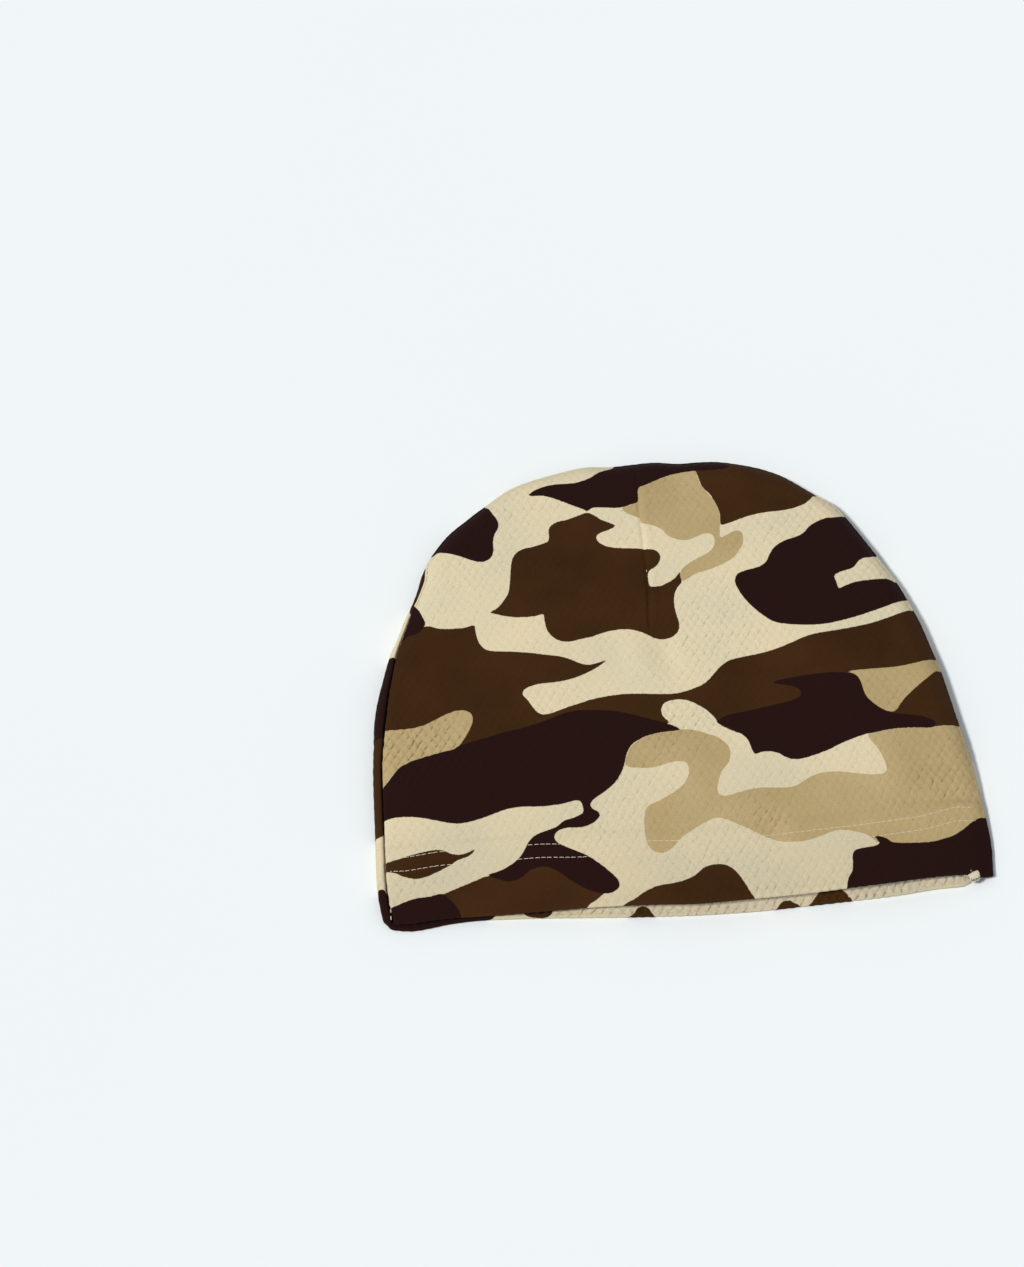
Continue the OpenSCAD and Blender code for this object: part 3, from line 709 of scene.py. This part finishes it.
def back_cloth():
    # where the cloth wraps over the left edge its flat part starts further in
    wraps = np.clip(wrap / WRAP[0][1], 0, 1)
    flat_in = FOLD_R * (1 - wraps) + WRAP_IN * wraps
    flat_in += TUCK * tucked(*silhouette.T)
    grid = panel_grid(dome_line(flat_in), back_hem)
    x, y = grid[..., 0], grid[..., 1]
    edge = segment_distance(grid.reshape(-1, 2), silhouette).reshape(x.shape)
    z = 0.28 * (0.5 - 0.5 * knit_relief(x, y, -1)) + under_features(x, y) * smooth(edge / 6)
    cloth = Cloth(np.dstack([x, y, z]))
    cloth.flat(grid, 1)
    rim = grid.reshape(-1, 2)[cloth.rim]
    n = rim_normals(rim)
    ends = turned_in(rim, n, back_hem)
    # the wrap's width at each place of the rim, and its share of the place's shape
    over = rim[:, 1] - back_hem(rim[:, 0]) - FOLD_R
    left = (rim[:, 0] < LEFT_X) & (over > ON_HEM)
    width = np.where(left, wrap_width(rim[:, 1]), 0)
    width = np.where(rim[:, 1] < WRAP[-1][0], width, 0)
    w = (np.clip(width / WRAP[0][1], 0, 1) * np.where(left, smooth(over / 2.5), 0))[:, None]
    z0 = CLOTH / 2
    # round the dome the cloth rises to meet the front's at the seam
    rise = np.maximum(under_front(*rim.T, 0.05) - 2 * FOLD_R, 0)
    rise = rise * smooth(over / 8) * (1 - tucked(*rim.T))
    room = 0.8 * np.maximum(mouth_z(rim[:, 0]) - SHUT_Z, 0) * (over < ON_HEM)

    def puff(d):
        """How far the hem's turn-up stands off the cloth under it, by distance from the fold."""
        return room * smooth(d / 4.5) * (1 - smooth((d - 7) / 13))

    def simple(angle):
        """Points of a plain fold."""
        out = FOLD_R * math.cos(angle)
        return np.column_stack([rim + n * out, (FOLD_R + rise / 2) * (1 + math.sin(angle))])

    def wrapped(step):
        """Points of the wrap: round the side, over the top to the seam, and down into it."""
        if step < 6:
            a = math.radians(-90 + 22 * step)
            out = WRAP_IN - WRAP_R + WRAP_R * math.cos(a)
            zz = np.full(len(rim), WRAP_TOP / 2 * (1 + math.sin(a)))
            return np.column_stack([rim + n * out, zz])
        inset = {6: 0.5, 7: 1.1, 8: 1.7, 9: 2.4, 10: 3.1, 11: 3.5}[step]
        scale = np.maximum(width, 0.5) / WRAP[0][1]
        q = rim + n * (WRAP_IN - inset * scale)[:, None]
        drop = {10: 0.45, 11: 1.4}.get(step, 0)
        return np.column_stack([q, front_height(*q.T) + CLOTH / 2 - drop])

    for step in range(1, 12):
        a = math.radians(-90 + 180 * step / 11)
        points = simple(a) * (1 - w) + wrapped(step) * w
        bend = (FOLD_R + rise / 4)[:, None] * (a + math.pi / 2)
        flat = rim + n * (bend * (1 - w) + 0.9 * step * w)
        relief = 0.12 * knit_relief(*flat.T, -1)
        points[:, :2] += n * (relief * math.cos(a))[:, None]
        cloth.loop(points, flat, 1)
    tip = points

    def inner(f, lift):
        """Places and points of the turn-up or allowance, a share of the way to the raw edge."""
        q = (1 - f) * rim + f * ends
        zz = z0 + FOLD_STEP + lift + puff(f * HEM_DEPTH) + rise
        plain = np.column_stack([q, zz])
        # under the wrap the allowance hangs beside the front's
        drop = np.column_stack([(q - rim) * 0.6, np.full(len(q), -0.6 - 0.4 * f)])
        hung = tip + drop + [0, 0, lift - CLOTH / 2]
        return q, plain * (1 - w) + hung * w

    fine = [0.6 * k / HEM_DEPTH for k in range(1, 19)]
    spare, before = 0, 0
    for f in fine + [0.4, 0.45, 0.5, 0.55, 0.6, 0.7, 0.8, 0.9, 1]:
        q, points = inner(f, CLOTH / 2)
        step = (f - before) * HEM_DEPTH
        spare = spare + np.hypot(step, puff(f * HEM_DEPTH) - puff(before * HEM_DEPTH)) - step
        before = f
        flat = rim + (rim - q) + n * FOLD_R * math.pi
        flat[:, 1] -= spare
        points[:, 2] += 0.55 * knit_relief(*flat.T, -1) - 0.15
        cloth.loop(points, flat, 1)
    for f in (1, 0.8, 0.6, 0.5, 0.4, 0.32, 0.26, 0.2, 0.15, 0.12, 0.09, 0.06, 0.03, 0):
        q, points = inner(f, -CLOTH / 2)
        cloth.loop(points, q, 0)
    cloth.loop(np.column_stack([rim + n * 0.05, z0 + FOLD_STEP / 2 + rise / 2]), rim, 0)
    for f in (0, 0.03, 0.08, 0.15, 0.25, 0.4, 0.6, 0.8):
        q = rim + f * (MIDDLE - rim)
        cloth.loop(np.column_stack([q, np.full(len(q), CLOTH)]), q, 0)
    cloth.close((*MIDDLE, CLOTH), MIDDLE)
    return cloth.object("back_panel_cloth", BACK_PRINT, -1)


# ---- threads
def tube(points, radius, sides=6):
    """Points and faces of a round tube along a line, with closed ends."""
    p = np.asarray(points, float)
    d = np.gradient(p, axis=0)
    d /= np.maximum(np.linalg.norm(d, axis=1), 1e-9)[:, None]
    up = np.where(np.abs(d[:, 2:]) > 0.9, [[0, 1.0, 0]], [[0, 0, 1.0]])
    u = np.cross(up, d)
    u /= np.linalg.norm(u, axis=1)[:, None]
    v = np.cross(d, u)
    a = np.arange(sides) * 2 * math.pi / sides
    radius = np.broadcast_to(radius, len(p))[:, None, None]
    ring = u[:, None] * np.cos(a)[None, :, None] + v[:, None] * np.sin(a)[None, :, None]
    verts = (p[:, None] + radius * ring).reshape(-1, 3)
    faces = []
    for i in range(len(p) - 1):
        for k in range(sides):
            j = (k + 1) % sides
            faces.append(tuple(i * sides + m for m in (k, j, j + sides, k + sides)))
    faces.append(tuple(range(sides))[::-1])
    faces.append(tuple((len(p) - 1) * sides + k for k in range(sides)))
    return verts, faces


def threads(name, lines, radius=THREAD_R, sides=6):
    """One piece from several lines of thread."""
    verts, faces, size = [], [], 0
    for line in lines:
        v, f = tube(line, radius, sides)
        verts.append(v)
        faces += [tuple(i + size for i in face) for face in f]
        size += len(v)
    return solid(name, np.vstack(verts), faces)


ARCH = np.sin(np.linspace(0, math.pi, 7)) ** 0.5   # a stitch's height from end to end


def stitches(x, y, height, bite=0.42, dip=0.45, upside=1):
    """Short stitches along a line, each one arched out of the cloth with its ends in it."""
    line = np.stack([x, y], -1)
    total = lengths(line)[-1]
    lines = []
    for k in range(int(total // PLAIN_STITCH)):
        shares = k + np.linspace(bite / 2, 1 - bite / 2, len(ARCH))
        p = resample(line, shares * PLAIN_STITCH / total)
        z = height(*p.T) + upside * (dip * (ARCH - 1) + 0.06)
        lines.append(np.column_stack([p, z]))
    return lines


def on_front(lift):
    """A function for the height of a thing that lies on the front's cloth."""
    return lambda x, y: front_height(x, y) + CLOTH / 2 + lift


def hem_row(hem, drop, start, end):
    x = np.linspace(start, end, 1000)
    return x, hem(x) + upper_row(x) - drop


def front_row(name, drop):
    """A row of the front hem's stitches, each of which pulls down into the cloth."""
    x, y = hem_row(front_hem, drop, -118.6, 120.5)
    pulled = np.abs(np.sin(math.pi * x / STITCH)) ** 0.8
    z = on_front(0.06)(x, y) + 0.26 * (pulled - 1)
    lines = [np.column_stack([x, y, z])]
    if not drop:
        # one stitch has been snagged and stands up in a small loop
        turn = np.linspace(math.radians(-165), math.radians(-15), 12)
        cx, cy = 2.4 + 2 * np.cos(turn), 28.4 + 1.2 * np.sin(turn)
        lines.append(np.column_stack([cx, cy, on_front(0.12)(cx, cy)]))
    return threads(name, lines, sides=5)


def back_row(name, drop):
    x, y = hem_row(back_hem, drop, -114, 112)
    return threads(name, stitches(x, y, level_at(0.22), bite=0.1, dip=0.0, upside=-1))


def looper(name, hem, height):
    """The zigzag of the looper thread between two rows, on the inside of the hem."""
    turns = 94
    t = np.linspace(0, 1, 8 * turns + 1)
    x = -112 + 220 * t
    swing = np.sin(2 * math.pi * turns * t)
    y = hem(x) + upper_row(x) - GAUGE / 2 + GAUGE / 2 * swing
    return threads(name, [np.column_stack([x, y, height(x, y)])], sides=5)


def seam_line():
    """The seam's line round the dome, without its ends at the hem."""
    return dome_line(wrap + 0.2)[20:-20]


def seam_needle():
    """The chain of stitches inside the seam, with its loose ends."""
    line = resample(seam_line(), np.linspace(0, 1, 700))
    inner = line - outward(line) * 1.6
    lines = [np.column_stack([inner, under_front(*inner.T, 0.1)])]
    # a few ends have worked out of the seam at the right shoulder and below it
    t = np.linspace(0, 1, 7)
    for x, y, dx, dy in ((74.4, 191.5, 1.2, 1.6), (76.2, 190.2, 2.0, 0.6), (78, 188.8, 1.0, 1.8),
                         (80.6, 187.0, 2.0, 0.9), (83, 184.6, 1.0, 1.3), (96.6, 160.6, 1.5, 0.9),
                         (98, 157.8, 1.4, 1.2), (108.4, 133.4, 1.6, 0.8)):
        lines.append(np.column_stack([x - dx + 2 * dx * t, y - dy + 2 * dy * t + 0.5 * t * t,
                                      EDGE_Z + 0.5 * np.sin(2 * t)]))
    return threads("seam_needle_stitches", lines, sides=5)


def seam_overlock():
    """Loops of thread over the raw edges of the two seam allowances."""
    turns = 200
    shares = np.linspace(0, 1, 8 * turns + 1)
    line = resample(seam_line()[25:-25], shares)
    out = outward(line)
    phase = 2 * math.pi * turns * shares
    inset = 4.6 + 2.0 * np.cos(phase)
    p = line - out * inset[:, None]
    top = under_front(*p.T, 0.3)
    edge = line - out * FOLD_R
    low = np.maximum(under_front(*edge.T, CLOTH + 0.3), 2.3)
    half = (top - low) / 2
    z = low + half + np.sin(phase) * np.maximum(half, 0.1)
    return threads("seam_overlock_stitches", [np.column_stack([p, z])], sides=5)


def left_tack():
    """A short row of stitches down the left seam at the hem."""
    lines = []
    for k, low in enumerate((3.6, 6.7, 9.8, 13.0)):
        y = np.linspace(low, low + 1.5, len(ARCH))
        x = np.full(len(ARCH), -119.75 + 0.15 * (k % 2))
        z = front_height(x, np.maximum(y, 7.0)) + 0.25 + 0.35 * (ARCH - 1)
        lines.append(np.column_stack([x, y + 3.2, z]))
    return threads("left_hem_tack_stitches", lines, radius=0.21)


def right_tack():
    """The chain of threads at the seam's end, folded back over the hem's right corner."""
    lines = []
    t = np.linspace(0, 1, 9)
    length = 3.2
    # of each tuft: its tip, the way it points, half its width, its threads, how much lower it is
    for tip, along, half, count, low in (((117.1, 3.3), (0.4, -1), 1.9, 10, 0.0),
                                         ((113.6, 5.2), (-0.35, -1), 1.6, 8, 0.3)):
        along = np.array(along) / math.hypot(*along)
        side = np.array([along[1], -along[0]])
        for k in range(count):
            across = 2 * k / (count - 1) - 1
            reach = length - 1.3 * (1 - math.sqrt(1 - (0.96 * across) ** 2))
            reach += 0.3 * math.sin(2.4 * k)
            start = np.array(tip) - length * along + across * half * side
            out = start + t[:, None] * reach * along
            top = 6.3 - low + 0.7 * np.sin(math.pi * 0.75 * t) - 1.4 * t ** 2 - 0.45 * across ** 2
            back = out[::-1] - 0.2 * along
            under = top[::-1] - 1.5 + 0.5 * t
            lines.append(np.vstack([np.column_stack([out, top]), np.column_stack([back, under])]))
    return threads("right_hem_tack_threads", lines, radius=0.27)


def pleat(name, centre, widths, height, upside):
    """The dart's spare cloth, folded flat to one side inside the cap."""
    # its section, with x as a share of the width and z as a share of the two layers
    section = [(0, 0.0), (1, 0.0), (1.04, 0.5), (1, 1.0), (0, 1.0), (0, 0.92), (0.97, 0.9),
               (0.985, 0.5), (0.97, 0.1), (0, 0.08)]
    points, faces = [], []
    for (x, y), width in zip(centre, widths):
        for across, up in section:
            px = x + across * width
            z = height(np.array([px]), np.array([y]))[0] + upside * up * 2 * CLOTH
            points.append((px, y, z))
    m = len(section)
    last = (len(centre) - 1) * m
    for i in range(0, last, m):
        for k in range(m):
            j = (k + 1) % m
            faces.append((i + k, i + j, i + m + j, i + m + k))
    faces.append(tuple(range(m)))
    faces.append(tuple(last + k for k in reversed(range(m))))
    piece = solid(name, points, faces, rounded=False)
    store(piece.data, "cloth", np.array(points)[:, :2])
    store(piece.data, "printed", np.zeros(len(points)))
    store(piece.data, "knit", np.zeros((len(points), 3)))
    for colour in FRONT_PRINT:
        store(piece.data, colour, np.full(len(points), -REACH))
    return piece


# ---- materials
def linear(r, g, b):
    """A colour given as it looks on a screen, 0 to 255."""
    def channel(c):
        c /= 255
        return c / 12.92 if c <= 0.04045 else ((c + 0.055) / 1.055) ** 2.4
    return (channel(r), channel(g), channel(b), 1)


class Nodes:
    """Short ways to write a node tree."""

    def __init__(self, name):
        self.material = bpy.data.materials.new(name)
        self.material.use_nodes = True
        self.tree = self.material.node_tree
        self.tree.nodes.clear()
        self.out = self.tree.nodes.new("ShaderNodeOutputMaterial")

    def add(self, kind, inputs=None, **settings):
        node = self.tree.nodes.new(kind)
        for key, value in settings.items():
            setattr(node, key, value)
        for key, value in (inputs or {}).items():
            self.put(node.inputs[key], value)
        return node

    def put(self, socket, value):
        if isinstance(value, bpy.types.NodeSocket):
            self.tree.links.new(value, socket)
        else:
            socket.default_value = value

    def maths(self, operation, *values):
        node = self.tree.nodes.new("ShaderNodeMath")
        node.operation = operation
        for socket, value in zip(node.inputs, values):
            self.put(socket, value)
        return node.outputs[0]

    def times(self, a, b):
        return self.maths("MULTIPLY", a, b)

    def mix(self, factor, a, b, blend="MIX"):
        node = self.add("ShaderNodeMix", data_type="RGBA", blend_type=blend)
        self.put(node.inputs[0], factor)
        self.put(node.inputs[6], a)
        self.put(node.inputs[7], b)
        return node.outputs[2]

    def ramp(self, value, low, high, to_low=0.0, to_high=1.0):
        return self.add("ShaderNodeMapRange", {
            "Value": value, "From Min": low, "From Max": high,
            "To Min": to_low, "To Max": to_high}).outputs[0]

    def noise(self, vector, scale, detail=3.0):
        return self.add("ShaderNodeTexNoise", {
            "Vector": vector, "Scale": scale, "Detail": detail}).outputs[0]

    def attribute(self, name):
        return self.add("ShaderNodeAttribute", attribute_name=name, attribute_type="GEOMETRY")

    def split(self, name):
        """The three numbers of a vector attribute."""
        vector = self.attribute(name).outputs["Vector"]
        return self.add("ShaderNodeSeparateXYZ", {"Vector": vector}).outputs

    def shaded(self, colour, red, green, blue):
        shade = self.add("ShaderNodeCombineColor", {"Red": red, "Green": green, "Blue": blue})
        return self.mix(1.0, colour, shade.outputs[0], "MULTIPLY")

    def finish(self, **inputs):
        """The surface's shader; a socket's name is written with _ for each space."""
        sockets = {key.replace("_", " "): value for key, value in inputs.items()}
        shader = self.add("ShaderNodeBsdfPrincipled", sockets)
        self.put(self.out.inputs[0], shader.outputs[0])
        return self.material


# the print's lighter colours each run between two tones
CREAM = linear(218, 208, 177), linear(229, 213, 178)
TAN = linear(180, 158, 113), linear(191, 169, 125)
BROWN = linear(57, 34, 15), linear(66, 41, 18)
PLUM = linear(37, 18, 16)
SLIT_SHADE = (0.5, 0.41, 0.28, 1)
WRONG_SIDE = linear(214, 206, 188)
ECRU = linear(226, 216, 192)
LOOP_X = 0.62   # spacing of the knit's fine loops
LOOP_Y = 0.5


def cloth_material():
    m = Nodes("printed_knit")
    cloth = m.attribute("cloth").outputs["Vector"]
    x, y = m.split("cloth")[:2]
    rising, falling, strength = m.split("knit")
    strength = m.times(strength, m.ramp(m.noise(cloth, 0.3, 2.0), 0.36, 0.64, 0.15, 1.35))
    crest = m.maths("COSINE", rising)
    other = m.maths("COSINE", falling)
    # a slit slants up between each pebble and the next one, where the cloth is pinched
    slit = m.ramp(m.maths("COSINE", m.maths("SUBTRACT", rising, math.pi + 0.3)), 0.68, 1.0)
    slit = m.times(slit, m.ramp(other, -1.4, 0.0))
    slit = m.times(slit, m.maths("POWER", strength, 1.5))
    blotch = m.ramp(m.noise(cloth, 0.028), 0.35, 0.65)
    # painted shade: the cloth is painted darker towards the hem, and below the fold it is also painted a
    # little bluer
    hem_shade = m.ramp(y, -10.0, 75.0, 0.82, 1.0)
    hem_shade_blue = m.times(hem_shade, m.ramp(y, -3.0, 3.0, 1.07, 1.0))
    colour = m.shaded(m.mix(blotch, *CREAM), hem_shade, hem_shade, hem_shade_blue)
    # the print's edges waver a little over the knit
    waver = m.times(m.maths("SUBTRACT", m.noise(cloth, 1.1, 2.0), 0.5), 0.5)
    inks = {"brown": m.mix(blotch, *BROWN), "tan": m.mix(blotch, *TAN), "plum": PLUM}
    for name, ink in inks.items():
        d = m.maths("ADD", m.attribute(name).outputs["Fac"], waver)
        colour = m.mix(m.ramp(d, -0.13, 0.13), colour, ink)
    colour = m.mix(m.attribute("printed").outputs["Fac"], WRONG_SIDE, colour)
    # the knit hardly shows in the dark patches
    seen = m.ramp(m.add("ShaderNodeRGBToBW", {"Color": colour}).outputs[0], 0.05, 0.3, 0.3, 1.0)
    slit = m.times(slit, seen)
    # the slits are painted a darker, warm colour, partly painted shade in these recesses and partly the
    # print's own darker colour there; where loose fibres stand up they are painted lighter, a painted
    # highlight
    colour = m.mix(m.maths("MINIMUM", m.times(slit, 0.36), 0.7), colour, SLIT_SHADE, "MULTIPLY")
    fibres = m.noise(cloth, 1.5)
    shade = m.ramp(fibres, 0.3, 0.7, 0.93, 1.06)
    colour = m.shaded(colour, shade, shade, shade)
    # fine loops of the knit, in columns
    wales = m.maths("SINE", m.times(x, 2 * math.pi / LOOP_X))
    courses = m.maths("SINE", m.times(y, 2 * math.pi / LOOP_Y))
    pebbles = m.maths("ADD", m.times(crest, 0.045), m.times(other, 0.035))
    pebbles = m.times(pebbles, m.times(strength, seen))
    height = m.maths("ADD", pebbles, m.times(m.times(wales, courses), 0.015))
    height = m.maths("SUBTRACT", height, m.times(slit, 0.09))
    height = m.maths("ADD", height, m.times(fibres, 0.2))
    bump = m.add("ShaderNodeBump", {"Strength": 0.8, "Distance": MM, "Height": height})
    return m.finish(Base_Color=colour, Roughness=0.9, Specular_IOR_Level=0.05,
                    Sheen_Weight=0.02, Sheen_Roughness=0.5, Normal=bump.outputs[0])


def thread_material():
    m = Nodes("ecru_thread")
    place = m.add("ShaderNodeNewGeometry").outputs["Position"]
    twist = m.add("ShaderNodeTexWave", {"Vector": place, "Scale": 700.0, "Distortion": 0.6},
                  wave_type="BANDS", bands_direction="DIAGONAL")
    twist = twist.outputs["Fac"]
    # painted shade: the thread is painted darker in the grooves of its twist
    tone = m.ramp(twist, 0.0, 1.0, 0.86, 1.0)
    bump = m.add("ShaderNodeBump", {"Strength": 0.4, "Distance": 0.0001, "Height": twist})
    return m.finish(Base_Color=m.shaded(ECRU, tone, tone, tone), Roughness=0.62,
                    Specular_IOR_Level=0.25, Sheen_Weight=0.15, Normal=bump.outputs[0])


def floor_material():
    m = Nodes("pale_floor")
    place = m.add("ShaderNodeNewGeometry").outputs["Position"]
    tone = m.ramp(m.noise(place, 3.0), 0.3, 0.7)
    colour = m.mix(tone, linear(243, 248, 250), linear(244, 249, 251))
    return m.finish(Base_Color=colour, Roughness=0.95, Specular_IOR_Level=0.0)


# ---- camera, floor and light
FILL = 0.4   # brightness of the light from all round


def camera():
    data = bpy.data.cameras.new("camera")
    data.lens = 102.3
    data.clip_end = 20
    piece = linked("camera", data)
    aim = Vector(row_frame((-59.9, 132.2, 9.5)))
    elevation = math.radians(59.57)
    heading = math.radians(5.07)
    distance = 1.507
    ahead = Vector((math.sin(heading) * math.cos(elevation),
                    math.cos(heading) * math.cos(elevation), -math.sin(elevation)))
    piece.location = aim - distance * ahead
    piece.rotation_euler = (math.pi / 2 - elevation, 0, -heading)
    bpy.context.scene.camera = piece


def floor():
    size = 6.0
    corners = [(-size, -size, 0), (size, -size, 0), (size, size, 0), (-size, size, 0)]
    mesh = bpy.data.meshes.new("floor")
    mesh.from_pydata(corners, [], [(0, 1, 2, 3)])
    mesh.update()
    piece = linked("floor", mesh)
    mesh.materials.append(floor_material())


def lights():
    world = bpy.data.worlds.new("studio")
    world.use_nodes = True
    background = world.node_tree.nodes["Background"]
    background.inputs[0].default_value = (0.94, 0.97, 1.0, 1)
    background.inputs[1].default_value = FILL
    bpy.context.scene.world = world
    to_light = Vector((-0.56, -0.3, 0.95)).normalized()
    data = bpy.data.lights.new("key", "SUN")
    data.angle = math.radians(9)
    data.color = (1.0, 0.985, 0.96)
    # together the key and the fill light the floor with 1
    data.energy = (1 - FILL) * math.pi / to_light.z
    piece = linked("key", data)
    piece.rotation_euler = to_light.to_track_quat("Z", "Y").to_euler()
    bpy.context.scene.view_settings.view_transform = "Standard"


# ---- the cap
camera()
floor()
lights()

knit = cloth_material()
ecru = thread_material()


def add(piece, material, slot, *nodes):
    """Gives a piece its material and its place in the model."""
    piece.data.materials.append(material)
    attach(piece, "root")
    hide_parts(*nodes)
    return piece


front = add(front_cloth(), knit, "front_cloth", "front_panel")
back = add(back_cloth(), knit, "back_cloth", "back_panel")

pleat_y = np.linspace(DART_TIP + 2, 206, 40)
pleat_width = 1 + 14 * (pleat_y - DART_TIP) / 82
front_pleat = add(
    pleat("front_dart_pleat", np.stack([dart_x(pleat_y), pleat_y], -1), pleat_width,
          on_front(-CLOTH - 0.1), -1),
    knit, "front_cloth", "front_dart_fold")
back_pleat = add(
    pleat("back_dart_pleat", np.stack([0 * pleat_y, pleat_y], -1), pleat_width,
          level_at(CLOTH + 0.06), 1),
    knit, "back_cloth", "back_dart_fold")

# the front's stitches lie sunk in the dart's groove, and come up where it gapes
front_dart_y = np.linspace(DART_TIP + 2, 208, 200)
add(threads("front_dart_stitches", stitches(
    dart_x(front_dart_y), front_dart_y,
    lambda x, y: on_front(-0.4)(x, y) + 0.34 * bell((y - 155) / 5), bite=0.35)),
    ecru, "thread", "front_dart_thread")
back_dart_y = np.linspace(DART_TIP + 2, 205, 200)
add(threads("back_dart_stitches", stitches(
    0 * back_dart_y, back_dart_y, level_at(0.2), dip=0.0, upside=-1)),
    ecru, "thread", "back_dart_thread")
add(seam_needle(), ecru, "thread", "seam_needle_thread")
add(seam_overlock(), ecru, "thread", "seam_overlock_thread")
for label, drop in (("upper", 0), ("lower", GAUGE)):
    add(front_row(f"front_hem_stitches_{label}", drop), ecru, "thread",
        f"front_hem_needle_thread_{label}")
    add(back_row(f"back_hem_stitches_{label}", drop), ecru, "thread",
        f"back_hem_needle_thread_{label}")
add(looper("front_hem_looper_stitches", front_hem,
           lambda x, y: under_front(x, y, 0.15)),
    ecru, "thread", "front_hem_looper_thread")
add(looper("back_hem_looper_stitches", back_hem, level_at(FOLD_STEP + CLOTH + 0.2)),
    ecru, "thread", "back_hem_looper_thread")
add(left_tack(), ecru, "thread", "left_hem_tack")
add(right_tack(), ecru, "thread", "right_hem_tack")
